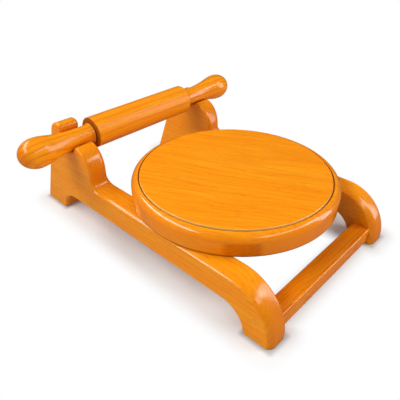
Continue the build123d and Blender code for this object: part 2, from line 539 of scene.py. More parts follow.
def add_mesh(name: str, points: np.ndarray, faces: list[list[int]]) -> bpy.types.Object:
    """Makes a smooth-shaded object at the origin.

    Args:
        name: the object's and the mesh's name.
        points: an array of places, in metres, whose last axis holds x, y and z.
        faces: vertex numbers of each face, counter-clockwise seen from outside.

    Returns:
        The new object, linked to the scene.
    """
    mesh = bpy.data.meshes.new(name)
    mesh.from_pydata(points.reshape(-1, 3), [], faces)
    mesh.validate()
    mesh.polygons.foreach_set("use_smooth", [True] * len(mesh.polygons))
    mesh.update()
    piece = bpy.data.objects.new(name, mesh)
    bpy.context.scene.collection.objects.link(piece)
    return piece


def grid_faces(rows: int, columns: int, wrap_rows: bool, wrap_columns: bool) -> np.ndarray:
    """Quads of a grid of vertices, numbered row by row.

    Args:
        rows: how many rows of vertices there are.
        columns: how many vertices each row has.
        wrap_rows: whether the last row joins the first.
        wrap_columns: whether the last column joins the first.

    Returns:
        An array of quads, four vertex numbers each.
    """
    numbers = np.arange(rows * columns).reshape(rows, columns)
    if wrap_rows:
        numbers = np.vstack([numbers, numbers[:1]])
    if wrap_columns:
        numbers = np.hstack([numbers, numbers[:, :1]])
    corners = (numbers[:-1, :-1], numbers[1:, :-1], numbers[1:, 1:], numbers[:-1, 1:])
    return np.stack(corners, -1).reshape(-1, 4)


def direction(angle: float) -> np.ndarray:
    """The unit vector at an angle in degrees."""
    return np.array([math.cos(math.radians(angle)), math.sin(math.radians(angle))])


def bearing(vector: np.ndarray) -> float:
    """A vector's angle in degrees."""
    return math.degrees(math.atan2(vector[1], vector[0]))


def arc_points(centre: Point, radius: float, start: float, end: float, step: float = 4.0,
               squash: float = 1.0) -> np.ndarray:
    """Points on an arc: centre + radius * (cos a, squash * sin a), a from start to end.

    Args:
        centre: the arc's centre.
        radius: its radius along the first axis.
        start: the angle of its first point, in degrees.
        end: the angle of its last point.
        step: the most degrees between two points.
        squash: its height as a share of its radius.

    Returns:
        The points, one in each row.
    """
    count = max(2, int(math.ceil(abs(end - start) / step)) + 1)
    angles = np.radians(np.linspace(start, end, count))
    ring = np.stack([np.cos(angles), squash * np.sin(angles)], -1)
    return np.asarray(centre) + radius * ring


def joined(*stretches: object) -> np.ndarray:
    """Stretches of an outline one after another, without doubled points.

    Args:
        stretches: arrays or lists of points.

    Returns:
        The outline's points, one in each row.
    """
    points = np.vstack(stretches)
    apart = np.linalg.norm(np.diff(points, axis=0), axis=1) > SAME_PLACE
    return points[np.concatenate([[True], apart])]


def lathe(name: str, profile: np.ndarray, centre: Vector, axis: str, turn: int = 1,
          segments: int = 160, closed: bool = False) -> bpy.types.Object:
    """Turns a profile round an axis.

    A point (h, r) of the profile at angle a lies at centre + h * axis + r * (cos a, sin a) in
    the plane across the axis. An open profile starts and ends on the axis, at r = 0.

    Args:
        name: the piece's name.
        profile: heights along the axis and radii, in metres, from low to high along the axis.
        centre: where the axis's zero is.
        axis: "X" or "Z".
        turn: -1 points the heights down the axis instead of up.
        segments: how many steps go round.
        closed: whether the profile is a loop, as of a tube.

    Returns:
        The new object.
    """
    heights, radii = profile.T
    angles = np.linspace(0, 2 * math.pi, segments, endpoint=False)
    along = np.broadcast_to(heights[:, None] * turn, (len(profile), segments))
    round_it = [radii[:, None] * np.cos(angles), radii[:, None] * np.sin(angles)]
    parts = [along, *round_it] if axis == "X" else [*round_it, along]
    rings = np.stack(parts, -1) + np.array(centre)
    order = -1 if turn > 0 else 1
    if closed:
        quads = grid_faces(len(profile), segments, True, True)
        return add_mesh(name, rings, quads[:, ::order].tolist())
    inner, ends = rings[1:-1], rings[[0, -1], 0]
    pole = len(inner) * segments
    ring = np.arange(segments)
    after, top = np.roll(ring, -1), pole - segments
    low_cap = np.stack([np.full(segments, pole), ring, after], -1)
    high_cap = np.stack([np.full(segments, pole + 1), top + after, top + ring], -1)
    faces = []
    for part in (grid_faces(len(inner), segments, False, True), low_cap, high_cap):
        faces += part[:, ::order].tolist()
    return add_mesh(name, np.vstack([inner.reshape(-1, 3), ends]), faces)


def carried(name: str, surface: np.ndarray) -> bpy.types.Object:
    """Makes a bar whose section is carried along X, with one polygon over each end.

    Args:
        name: the piece's name.
        surface: places by their number in the section, which is walked clockwise seen from +X,
            and by their number from left to right.

    Returns:
        The new object.
    """
    rows, columns = surface.shape[:2]
    numbers = np.arange(rows * columns).reshape(rows, columns)
    faces = grid_faces(rows, columns, True, False)[:, ::-1].tolist()
    faces += [numbers[:, 0].tolist(), numbers[::-1, -1].tolist()]
    return add_mesh(name, surface, faces)


def dress(piece: bpy.types.Object, body: Body, finish: VarnishedWood, *nodes: str) -> None:
    """Gives a new piece its body, its finish and the CAD nodes that it stands for.

    Args:
        piece: the finished piece.
        body: the body that it rides on.
        finish: what its material comes from.
        nodes: the CAD nodes that it replaces.
    """
    piece.data.materials.append(finish.material())
    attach(piece, body.value)
    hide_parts(*nodes)
    log.info("%s: %d vertices", piece.name, len(piece.data.vertices))


# Sub-assemblies


@dataclass
class RollingBoard:
    """The round board: a flat face, a fine step round it, and a broad rounded rim."""

    rim_width: float = 10.2 * MM
    rim_radius: float = 9.0 * MM
    step: float = 1.2 * MM
    step_edge: float = 0.8 * MM
    groove_width: float = 1.5 * MM
    groove_floor_share: float = 0.6
    groove_depth: float = 0.9 * MM
    foot_radius: float = 2.4 * MM
    guard: float = 0.4 * MM            # rings this near an edge keep the flat faces flat-shaded
    # painted highlight and painted shade at the step: a pale line for the glint on the step's edge, a
    # dark line for the shade in the groove
    painted_highlight_inset: float = 0.6 * MM     # of the painted highlight, a pale line for the glint on the step's edge, from the step inwards
    painted_highlight_below: float = 0.1 * MM     # the flat face
    painted_highlight_colour: Colour = (0.98, 0.58, 0.18)
    groove_shade_offset: float = 1.1 * MM     # of the painted groove shade, a dark line, from the step outwards
    groove_shade_colour: Colour = (0.25, 0.042, 0.002)
    finish: VarnishedWood = VarnishedWood(
        "board_varnish", Slot.BOARD, grain_angle=-62.0, seed=(31.0, 12.0, 7.0),
        fibre_weight=0.52, coat_roughness=0.14, flat_coat=0.3,
        # painted shade: the rim wall deeper and redder all round, a darker block on the rim wall at
        # the front left beside the near rail, and a dark band round the underside edge where the board
        # sits on the rails
        shade_patches=(
            ShadePatch((5.0, -48.25, 74.5), (280.0, 280.0, 15.0), (0.88, 0.225, 0.001)),
            ShadePatch((-85.0, -134.0, 71.0), (17.0, 26.0, 11.0), (0.50, 0.085, 0.001)),
            ShadePatch((5.0, -48.25, 61.5), (280.0, 280.0, 3.6), (0.16, 0.026, 0.001)),
        ),
    )

    def build(self) -> None:
        """Makes the board and dresses it, with a painted highlight line and a painted shade line at
        its step.
        """
        low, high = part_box("rolling_board")
        centre = Vector(((low.x + high.x) / 2, (low.y + high.y) / 2, low.z))
        radius = (high.x - low.x) / 2
        profile = self.profile(radius, high.z - low.z)
        board = lathe("board", profile, centre, "Z", segments=256)
        board.data.set_sharp_from_angle(angle=CORNER)
        middle, face = (centre.x / MM, centre.y / MM), radius - self.rim_width
        # painted highlight: a pale line just inside the step, below the flat face
        painted_highlight = Circle(middle, (face - self.painted_highlight_inset) / MM, self.painted_highlight_colour,
                        top=(high.z - self.painted_highlight_below) / MM)
        # painted shade: a dark line in the groove outside the step
        groove_shade = Circle(middle, (face + self.groove_shade_offset) / MM, self.groove_shade_colour)
        finish = replace(self.finish, circles=(painted_highlight, groove_shade))
        dress(board, Body.STAND, finish, "rolling_board")

    def profile(self, radius: float, height: float) -> np.ndarray:
        """The board's profile, in lines and arcs.

        Args:
            radius: the board's radius.
            height: its thickness.

        Returns:
            Heights and radii from the middle of the underside, out and up to the face's middle.
        """
        rim_top, half = height - self.step, radius * 0.5
        face, floor = radius - self.rim_width, rim_top - self.groove_depth
        foot, rim, edge = self.foot_radius, self.rim_radius, self.step_edge
        across_up = joined(
            [(0, 0), (half, 0), (radius - foot - self.guard, 0)],
            arc_points((radius - foot, foot), foot, -90, 0, step=15),
            arc_points((radius - rim, rim_top - rim), rim, 0, 90, step=5),
            [(face + self.groove_width, rim_top),
             (face + self.groove_floor_share * self.groove_width, floor),
             (face, floor), (face, rim_top)],
            arc_points((face - edge, height - edge), edge, 0, 90, step=22),
            [(face - edge - self.guard, height), (half, height), (0, height)],
        )
        return across_up[:, ::-1]


class Stretch:
    """One line or arc of a rail's outline, with its inward directions and edge roundings."""

    def __init__(self, points: np.ndarray, inward: np.ndarray, left: Point, right: Point,
                 reach: Point | None = None) -> None:
        """Spreads each edge's start and end rounding smoothly along the stretch.

        Args:
            points: places in the side view.
            inward: unit directions into the wood at those places.
            left: the left edge's rounding at the start and at the end.
            right: the right edge's rounding at the start and at the end.
            reach: how far the left edge's rounding goes across the thickness at the start
                and at the end, where that isn't as far as it goes down the face.
        """
        self.points = points
        self.inward = inward
        share = np.linspace(0, 1, len(points))
        share = share * share * (3 - 2 * share)
        self.left, self.right, self.reach = (
            edge[0] + (edge[1] - edge[0]) * share for edge in (left, right, reach or left)
        )

    @classmethod
    def line(cls, start: Point, end: Point, left: Point, right: Point,
             reach: Point | None = None, step: float = 5 * MM) -> "Stretch":
        """A straight stretch, walked with the wood on its right; it may have no length.

        Args:
            start: its first point.
            end: its last point.
            left, right, reach: as for any stretch.
            step: the most that lies between two points.

        Returns:
            The stretch.
        """
        start, end = np.asarray(start, float), np.asarray(end, float)
        run = end - start
        length = float(np.linalg.norm(run))
        if length < SAME_PLACE:
            return cls(start[None], np.zeros((1, 2)), left, right, reach)
        count = max(2, int(math.ceil(length / step)) + 1)
        points = start + run * np.linspace(0, 1, count)[:, None]
        inward = np.array([run[1], -run[0]]) / length
        return cls(points, np.broadcast_to(inward, points.shape), left, right, reach)

    @classmethod
    def arc(cls, centre: Point, radius: float, start: float, end: float, left: Point,
            right: Point, step: float = 4.0, reach: Point | None = None) -> "Stretch":
        """A round stretch; it bulges where it is walked clockwise and is hollow otherwise.

        Args:
            centre: the arc's centre.
            radius: its radius.
            start: the angle of its first point, in degrees.
            end: the angle of its last point.
            left, right, reach: as for any stretch.
            step: the most degrees between two points.

        Returns:
            The stretch.
        """
        points = arc_points(centre, radius, start, end, step)
        inward = (np.asarray(centre) - points) / radius
        return cls(points, inward if end < start else -inward, left, right, reach)


@dataclass
class SideRail:
    """A side rail: two feet, a bar, and two horns with the pin's slanted slot between them.

    Each horn's round corner beside the slot either ends on the slot's straight wall or, on a
    low horn, rolls over into the slot's round bottom.
    """

    side: Side
    horn_width: float
    brow_to_slot: float
    front_rise: float
    rear_rise: float
    finish: VarnishedWood
    horn_edge: float
    bar_top: float = 61.8 * MM
    arch_height: float = 29.5 * MM
    arch_end: float = 176.0                     # of the arch's arc at the front foot, degrees
    arch_toe: Point = (0.1 * MM, 2.0 * MM)      # from there a bevel goes down to the floor
    front_foot: float = 34.7 * MM
    rear_foot: float = 46.0 * MM
    nose_spring: float = 5.3 * MM
    slot_to_back: float = 77.9 * MM
    back_lean: float = 20.46
    root_radius: float = 12.0 * MM
    root_share: float = 0.95
    lip_radius: float = 6.0 * MM
    hook_radius: float = 7.0 * MM
    crown_radius: float = 13.5 * MM
    slot_rise: float = 38.1 * MM
    slot_radius: float = 13.66 * MM
    slot_lean: float = 24.0
    near_edge: float = 3.6 * MM
    foot_edges: Point = (6.2 * MM, 7.0 * MM)
    foot_depth: float = 7.6 * MM
    bar_edges: Point = (2.8 * MM, 2.0 * MM)
    broad_reach: float = 10.0 * MM
    horn_reach: float = 6.5 * MM
    slot_edge: float = 3.0 * MM
    lip_edge: float = 4.0 * MM
    crown_edge: float = 3.0 * MM
    crown_fade: float = 0.4
    crisp_edge: float = 0.6 * MM
    foot_ease: float = 2.0 * MM
    upright_share: float = 0.99    # of the ease: below it the foot's roundings stay upright
    rear_arch_ease: float = 5.0 * MM
    toe_edge: float = 3.8 * MM
    toe_reach: float = 6.5 * MM
    guard: float = 0.5 * MM
    break_angle: float = 24.0
    sharp_angle: float = 20.0
    screw_head_radius: float = 4.5 * MM
    counterbore_radius: float = 5.5 * MM
    counterbore_depth: float = 8.0 * MM
    hole_radius: float = 2.5 * MM
    hole_overrun: float = 1.0 * MM
    arc_steps: int = 8
    front: float = field(init=False, default=0.0)
    length: float = field(init=False, default=0.0)

    def build(self) -> None:
        """Makes the rail and dresses it."""
        side = self.side.name.lower()
        node = f"{side}_rail"
        low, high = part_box(node)
        self.front, self.length = low.y, high.y - low.y
        rail = self.mesh(f"{side}_side_rail", low.x, high.x)
        self.bore(rail, (low.x + high.x) / 2)
        dress(rail, Body.STAND, self.finish, node)

    def bore(self, rail: bpy.types.Object, middle: float) -> None:
        """Cuts the counterbored holes of the two screws up into the bar.

        Args:
            rail: the rail.
            middle: the middle of its thickness, in X.
        """
        low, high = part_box("board_screws")
        head, wide, slim = self.screw_head_radius, self.counterbore_radius, self.hole_radius
        bottom, top = -self.hole_overrun, self.bar_top - self.arch_height + self.hole_overrun
        step = self.counterbore_depth
        profile = np.array([
            (bottom, 0), (bottom, wide), (step, wide), (step, slim), (top, slim), (top, 0),
        ])
        for place in (low.y + head, high.y - head):
            cutter = lathe("cutter", profile, Vector((middle, place, self.arch_height)), "Z",
                           segments=48)
            cut = rail.modifiers.new("hole", "BOOLEAN")
            cut.object, cut.solver = cutter, "EXACT"
            bpy.context.view_layer.update()
            done = bpy.data.meshes.new_from_object(
                rail.evaluated_get(bpy.context.evaluated_depsgraph_get()))
            rail.modifiers.clear()
            rail.data, done.name = done, rail.name
            bpy.data.objects.remove(cutter)
        rail.data.set_sharp_from_angle(angle=math.radians(self.sharp_angle))
        normals = np.empty(3 * len(rail.data.polygons), np.float32)
        rail.data.polygons.foreach_get("normal", normals)
        rail.data.polygons.foreach_set("use_smooth", normals[::3] > -FLAT)

    def outline(self) -> list[Stretch]:
        """The side view.

        Returns:
            Its stretches, from the front foot up over the horns and back along the underside.
        """
        near, wide, broad, crisp, slim, horn, crown = (
            (edge, edge) for edge in (
                self.near_edge, self.horn_reach, self.broad_reach, self.crisp_edge,
                self.slot_edge, self.horn_edge, self.crown_edge,
            )
        )
        foot_near, foot_far, bar_near, bar_far = (
            (edge, edge) for edge in (*self.foot_edges, *self.bar_edges)
        )
        top, ease, arch = self.bar_top, self.foot_ease, self.arch_height
        slot = np.array([self.length - self.slot_to_back, top + self.slot_rise + self.slot_radius])
        brow_radius = self.horn_width - self.brow_to_slot
        brow = np.array([slot[0] - self.brow_to_slot, top + self.front_rise - brow_radius])
        face = slot[0] - self.horn_width
        root = min(self.root_radius, self.root_share * (brow[1] - top))
        nose = top - self.nose_spring
        rear_top = top + self.rear_rise

        lip, lip_start, lip_end = self.lip(slot, brow, brow_radius)
        hook, hook_start, slot_end = self.hook(slot, rear_top)
        slot_start = lip_end + 180
        lip_touch = lip + self.lip_radius * direction(lip_end)
        slot_low = slot + self.slot_radius * direction(slot_start)
        slot_high = slot + self.slot_radius * direction(slot_end)
        hook_touch = hook + self.hook_radius * direction(hook_start)

        ground = np.array([self.length, 0.0])
        back = np.array([self.length - rear_top * math.tan(math.radians(self.back_lean)), rear_top])
        crown_at, crown_from, crown_to = self.corner(
            np.array([slot[0], rear_top]), back, ground, self.crown_radius
        )
        heel, heel_from, heel_to = self.corner(back, ground, np.zeros(2), ease)
        crown_start, crown_end = bearing(crown_from - crown_at), bearing(crown_to - crown_at)
        heel_start, heel_end = bearing(heel_from - heel), bearing(heel_to - heel)
        heel_end -= 360 * (heel_end > heel_start)
        toe, foot = self.length - self.rear_foot, self.front_foot
        toe_start = (foot + self.arch_toe[0], self.arch_toe[1])
        mixed = (self.slot_edge, self.crown_edge)
        fading = (self.crown_edge, self.crown_fade * self.crown_edge)
        faded = (fading[1], self.crisp_edge)
        return [
            Stretch.arc((ease, ease), ease, 270, 180, foot_near, foot_far, step=15, reach=broad),
            Stretch.line((0, ease), (0, self.nose_spring), foot_near, foot_far, broad),
            Stretch.arc((nose, self.nose_spring), nose, 180, 90, (foot_near[0], bar_near[0]),
                        (foot_far[0], bar_far[0]), step=3, reach=broad),
            Stretch.line((nose, top), (face - root, top), bar_near, bar_far, broad),
            Stretch.arc((face - root, top + root), root, -90, 0, (bar_near[0], near[0]),
                        (bar_far[0], horn[0]), reach=(broad[0], wide[0])),
            Stretch.line((face, top + root), (face, brow[1]), near, horn, wide),
            Stretch.arc(brow, brow_radius, 180, lip_start, (near[0], slim[0]),
                        (horn[0], self.lip_edge), step=3, reach=(wide[0], slim[0])),
            Stretch.arc(lip, self.lip_radius, lip_start, lip_end, slim,
                        (self.lip_edge, slim[0]), step=6),
            Stretch.line(lip_touch, slot_low, slim, slim),
            Stretch.arc(slot, self.slot_radius, slot_start, slot_end + 360, slim, slim),
            Stretch.line(slot_high, hook_touch, slim, slim),
            Stretch.arc(hook, self.hook_radius, hook_start, 90, mixed, mixed, step=6),
            Stretch.line(hook + (0, self.hook_radius), crown_from, crown, crown),
            Stretch.arc(crown_at, self.crown_radius, crown_start, crown_end, fading, fading),
            Stretch.line(crown_to, heel_from, faded, faded),
            Stretch.arc(heel, ease, heel_start, heel_end, crisp, crisp, step=15),
            Stretch.line(heel_to, (toe + self.rear_arch_ease, 0), crisp, crisp),
            *self.rear_arch(toe, crisp),
            Stretch.line((toe - arch, arch), (foot + arch, arch), crisp, crisp),
            Stretch.arc((foot + arch, 0), arch, 90, self.arch_end, crisp, crisp),
            Stretch.line(toe_start, (foot - ease, 0), crisp, crisp),
            Stretch.line((foot - ease, 0), (self.foot_depth, 0), crisp, crisp),
            Stretch.line((self.foot_depth, 0), (ease, 0), foot_near, foot_far, broad),
        ]

    def lip(self, slot: np.ndarray, brow: np.ndarray,
            brow_radius: float) -> tuple[np.ndarray, float, float]:
        """The round lip of the front horn, which touches the brow's circle from inside.

        Its other side touches the slot's straight wall, or the slot's circle from outside
        where that touching place is below the wall.

        Args:
            slot: the middle of the slot's round bottom.
            brow: the middle of the brow's circle.
            brow_radius: the brow's radius.

        Returns:
            The lip's centre, and the angles at which it leaves the brow and meets the slot.
        """
        inner = brow_radius - self.lip_radius
        reach = self.slot_radius + self.lip_radius
        gap = slot - brow
        span = float(np.linalg.norm(gap))
        along = (inner**2 - reach**2 + span**2) / (2 * span)
        if along < inner:
            across = math.sqrt(inner**2 - along**2)
            unit = gap / span
            centre = brow + unit * along + np.array([-unit[1], unit[0]]) * across
            touch = bearing(slot - centre)
            if touch > self.slot_lean:
                return centre, bearing(centre - brow), touch
        up = direction(90 + self.slot_lean)
        start = slot - direction(self.slot_lean) * reach - brow
        rise = -start @ up + math.sqrt((start @ up) ** 2 - start @ start + inner**2)
        centre = brow + start + up * rise
        return centre, bearing(centre - brow), self.slot_lean

    def hook(self, slot: np.ndarray, rear_top: float) -> tuple[np.ndarray, float, float]:
        """The round corner of the rear horn, below its level top.

        Args:
            slot: the middle of the slot's round bottom.
            rear_top: the rear horn's height.

        Returns:
            The corner's centre, the angle at which it leaves the slot's side, and the angle on
            the slot's circle where the slot's round bottom ends.
        """
        height = rear_top - self.hook_radius - slot[1]
        reach = self.slot_radius + self.hook_radius
        lean = math.radians(self.slot_lean)
        if height < reach * math.sin(lean):
            centre = slot + np.array([math.sqrt(reach**2 - height**2), height])
            angle = bearing(centre - slot)
            return centre, angle + 180, angle
        across = (reach - height * math.sin(lean)) / math.cos(lean)
        centre = slot + np.array([across, height])
        return centre, 180 + self.slot_lean, self.slot_lean

    def rear_arch(self, foot: float, edges: Point) -> list[Stretch]:
        """The rear foot's rounded toe and the hollow quarter circle above it.

        Args:
            foot: where the rear foot starts.
            edges: the rounding of both edges beside the toe.

        Returns:
            The stretches.
        """
        arch, ease = self.arch_height, self.rear_arch_ease
        reach = arch + ease
        rise = math.degrees(math.asin(ease / reach))
        toe = (foot - arch + reach * math.cos(math.radians(rise)), ease)
        left, reaches = (edges[0], self.toe_edge), (edges[0], self.toe_reach)
        return [
            Stretch.line((foot + ease, 0), (toe[0], 0), edges, edges),
            Stretch.arc(toe, ease, 270, 180 + rise, left, edges, step=8, reach=reaches),
            Stretch.arc((foot - arch, 0), arch, rise, 90, left[::-1], edges, reach=reaches[::-1]),
        ]

    @staticmethod
    def corner(before: np.ndarray, corner: np.ndarray, after: np.ndarray,
               radius: float) -> tuple[np.ndarray, np.ndarray, np.ndarray]:
        """The circle that rounds a corner.

        Args:
            before: a point on the line into the corner.
            corner: the corner.
            after: a point on the line out of it.
            radius: the circle's radius.

        Returns:
            The circle's centre, and where it leaves the first line and meets the second.
        """
        back = (before - corner) / np.linalg.norm(before - corner)
        on = (after - corner) / np.linalg.norm(after - corner)
        half = math.acos(float(back @ on)) / 2
        reach = radius / math.tan(half)
        bisector = (back + on) / np.linalg.norm(back + on)
        centre = corner + bisector * radius / math.sin(half)
        return centre, corner + back * reach, corner + on * reach

    def mesh(self, name: str, left_x: float, right_x: float) -> bpy.types.Object:
        """The rail's surface.

        Every point of the outline carries a section across the thickness: a quarter ellipse
        from the left face, a flat, and a quarter circle to the right face. At angle a a
        rounding of inset r and reach w lies r * (1 - sin a) inside the outline and
        w * (1 - cos a) inside its face. On the left face it starts at break_angle b, where it
        meets the face in a crisp line: there the two are r * (1 - sin a) / (1 - sin b) and
        w * (cos b - cos a) / cos b. One more ring just inside each face keeps the flat
        faces flat-shaded. The front foot's roundings stay upright down to the floor: there a
        point lies at its own distance from the front, or at the outline's if that is more.

        Args:
            name: the rail's name.
            left_x: where its left face is.
            right_x: where its right face is.

        Returns:
            The new object.
        """
        stretches = self.outline()
        points, inward = (
            np.vstack([getattr(s, part)[:-1] for s in stretches]) for part in ("points", "inward")
        )
        left, right, reach = (
            np.concatenate([getattr(s, edge)[:-1] for s in stretches])[:, None]
            for edge in ("left", "right", "reach")
        )
        angles = np.linspace(0, math.pi / 2, self.arc_steps + 1)
        inset_share, depth_share = 1 - np.sin(angles), 1 - np.cos(angles)
        start = math.radians(self.break_angle)
        broken = np.linspace(start, math.pi / 2, self.arc_steps + 1)
        left_inset = (1 - np.sin(broken)) / (1 - math.sin(start))
        left_depth = (math.cos(start) - np.cos(broken)) / math.cos(start)
        width, flat = right_x - left_x, np.zeros_like(left)
        inset = np.hstack([
            left + self.guard, left * left_inset,
            (right * inset_share)[:, ::-1], right + self.guard,
        ])
        depth = np.hstack([
            flat, reach * left_depth, width - (right * depth_share)[:, ::-1], flat + width,
        ])
        place = points[:, None] + inward[:, None] * inset[..., None]

        low = ((points[:, 0] < self.foot_depth + self.guard)
               & (points[:, 1] < self.upright_share * self.foot_ease))
        from_front = np.maximum(points[low, :1], inset[low])
        place[low] = np.stack([from_front, np.broadcast_to(points[low, 1:], from_front.shape)], -1)
        near, far = np.split(np.arange(inset.shape[1]), [self.arc_steps + 2])
        share = np.clip(from_front[:, near] / left[low], 0, 1)
        sine = 1 - share * (1 - math.sin(start))
        depth[np.ix_(low, near)] = reach[low] * (1 - np.sqrt(1 - sine**2) / math.cos(start))
        share = np.clip(from_front[:, far] / right[low], 0, 1)
        depth[np.ix_(low, far)] = width - right[low] * (1 - np.sqrt(1 - (1 - share) ** 2))
        surface = np.stack([left_x + depth, self.front + place[..., 0], place[..., 1]], -1)
        rail = carried(name, surface)
        self.merge(rail)
        return rail

    @staticmethod
    def merge(rail: bpy.types.Object) -> None:
        """Makes the rail's doubled points one and takes out its faces without area.

        Args:
            rail: the rail.
        """
        shell = bmesh.new()
        shell.from_mesh(rail.data)
        bmesh.ops.remove_doubles(shell, verts=shell.verts, dist=SAME_PLACE)
        bmesh.ops.dissolve_degenerate(shell, edges=shell.edges, dist=SAME_PLACE)
        shell.to_mesh(rail.data)
        shell.free()


@dataclass
class FrontStretcher:
    """The square bar between the front feet, with softened long edges."""

    edge: float = 1.6 * MM
    guard: float = 0.3 * MM
    stations: int = 24
    finish: VarnishedWood = VarnishedWood(
        "stretcher_varnish", Slot.STRETCHER, seed=(5.0, 60.0, 3.0),
        pale=(0.92, 0.27, 0.005), warm=(0.85, 0.19, 0.003), deep=(0.55, 0.10, 0.002),
        coat=0.6, coat_roughness=0.18, fibre_weight=0.6,
    )

    def build(self) -> None:
        """Makes the bar, a rounded rectangle carried along X, and dresses it."""
        low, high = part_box("front_stretcher")
        section = self.section(low, high)
        surface = np.zeros((len(section), self.stations, 3))
        surface[..., 0] = np.linspace(low.x, high.x, self.stations)
        surface[..., 1:] = section[:, None]
        bar = carried("stretcher_bar", surface)
        bar.data.set_sharp_from_angle(angle=CORNER)
        dress(bar, Body.STAND, self.finish, "front_stretcher")

    def section(self, low: Vector, high: Vector) -> np.ndarray:
        """The rounded rectangle, with a point on the flat beside each end of each rounding.

        Args:
            low: the bar's lowest corner.
            high: its highest corner.

        Returns:
            Places in Y and Z, walked clockwise seen from +X.
        """
        edge = self.edge
        front, back = low.y + edge, high.y - edge
        bottom, top = low.z + edge, high.z - edge
        rounds = []
        for centre, start in (((back, bottom), -90), ((back, top), 0), ((front, top), 90),
                              ((front, bottom), 180)):
            quarter = arc_points(centre, edge, start, start + 90, step=15)
            before = quarter[:1] + direction(start - 90) * self.guard
            after = quarter[-1:] + direction(start + 180) * self.guard
            rounds += [before, quarter, after]
        return np.vstack(rounds)[::-1]


@dataclass
class RollingPin:
    """The pin: a revolving barrel on a hidden rod, and a turned handle at each end."""

    barrel_edge: float = 1.4 * MM
    barrel_guard: float = 0.4 * MM
    barrel_rings: int = 9
    barrel_rings_share: float = 0.8    # of the barrel's length, over which they are spread
    bore: float = 11.65 * MM
    bush_depth: float = 1.5 * MM
    hidden_bore_share: float = 0.45    # of the bore, between the bushes
    collar_radius: float = 13.3 * MM
    collar_edge: float = 0.9 * MM
    collar_length: float = 7.8 * MM
    waist_radius: float = 11.9 * MM
    waist_length: float = 11.0 * MM
    bulb_radius: float = 18.3 * MM
    bulb_cap: float = 22.4 * MM
    swell_share: float = 0.75
    hollow_steps: int = 14
    round_steps: int = 10
    barrel_finish: VarnishedWood = VarnishedWood(
        "barrel_varnish", Slot.PIN, seed=(0.0, 21.0, 40.0), ring_pitch=9.0,
        ring_centre=(52.0, 70.0), ring_weight=0.45, roughness=0.42, coat=0.3,
        coat_roughness=0.24, end=(0.34, 0.075, 0.006), end_weight=0.9,
    )
    left_finish: VarnishedWood = VarnishedWood(
        "left_handle_varnish", Slot.PIN, seed=(80.0, -6.0, 4.0), ring_pitch=6.0,
        ring_centre=(-14.0, 30.0), ring_weight=0.55, ring_warp=40.0, coat=0.6,
        coat_roughness=0.17,
    )
    right_finish: VarnishedWood = VarnishedWood(
        "right_handle_varnish", Slot.PIN, seed=(-60.0, 15.0, 22.0), ring_pitch=6.5,
        ring_centre=(20.0, -24.0), ring_weight=0.45, ring_warp=34.0, coat=0.8,
        coat_roughness=0.13,
    )

    def build(self) -> None:
        """Makes the barrel and both handles and dresses them."""
        low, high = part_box("pin_barrel")
        centre = (low + high) / 2
        profile = self.barrel_profile((high.x - low.x) / 2, (high.z - low.z) / 2)
        barrel = lathe("barrel", profile, centre, "X", closed=True, segments=144)
        barrel.data.set_sharp_from_angle(angle=CORNER)
        dress(barrel, Body.BARREL, self.barrel_finish, "pin_barrel")
        for side, finish in ((Side.LEFT, self.left_finish), (Side.RIGHT, self.right_finish)):
            name = side.name.lower()
            node = f"{name}_handle"
            near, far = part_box(node)
            collar = Vector((far.x if side is Side.LEFT else near.x, centre.y, centre.z))
            profile = self.handle_profile(far.x - near.x)
            handle = lathe(f"{name}_grip", profile, collar, "X", turn=side.value, segments=128)
            dress(handle, Body.PIN, finish, node)

    def barrel_profile(self, half: float, radius: float) -> np.ndarray:
        """The outside, the ends and the bore with its recesses.

        Args:
            half: half of the barrel's length.
            radius: its radius.

        Returns:
            A loop of heights and radii.
        """
        edge, seat = self.barrel_edge, half - self.bush_depth
        right = joined(
            [(half - edge - self.barrel_guard, radius)],
            arc_points((half - edge, radius - edge), edge, 90, 0, step=10),
            [(half, radius - edge - self.barrel_guard), (half, self.bore), (seat, self.bore),
             (seat, self.hidden_bore_share * self.bore)],
        )
        reach, rings = self.barrel_rings_share * half, self.barrel_rings
        middle = np.stack([np.linspace(-reach, reach, rings), np.full(rings, radius)], -1)
        return np.vstack([right[::-1] * (-1, 1), middle, right])

    def handle_profile(self, length: float) -> np.ndarray:
        """A handle's profile.

        The collar flares out of the waist on one arc. Past the waist a hollow arc and a round
        arc meet at swell_share of the way to the bulb, and a quarter ellipse closes the end.

        Args:
            length: the handle's length.

        Returns:
            Heights and radii from the collar's flat face to the tip.
        """
        waist, bulb, edge = self.waist_radius, self.bulb_radius, self.collar_edge
        flare = self.collar_radius - waist
        flare_radius = (self.collar_length**2 + flare**2) / (2 * flare)
        flare_angle = math.degrees(math.asin(self.collar_length / flare_radius))
        waist_end = self.collar_length + self.waist_length
        bulb_place = length - self.bulb_cap
        run, rise = bulb_place - waist_end, bulb - waist
        whole = (run**2 + rise**2) / (2 * rise)
        hollow, round_ = self.swell_share * whole, (1 - self.swell_share) * whole
        turn = math.degrees(math.asin(self.swell_share * run / hollow))
        collar = arc_points((edge, self.collar_radius - edge), edge, 180, 100, step=12)
        flared = arc_points((self.collar_length, waist + flare_radius), flare_radius,
                            -90 - flare_angle, -90, step=2)
        return joined(
            [(0, 0), (0, 0.5 * self.collar_radius), (0, self.collar_radius - 1.5 * edge)],
            collar,
            flared[flared[:, 0] > edge * 1.1],
            arc_points((waist_end, waist + hollow), hollow, -90, -90 + turn,
                       step=turn / self.hollow_steps),
            arc_points((bulb_place, bulb - round_), round_, 90 + turn, 90,
                       step=turn / self.round_steps),
            arc_points((bulb_place, 0), self.bulb_cap, 90, 0, squash=bulb / self.bulb_cap),
        )


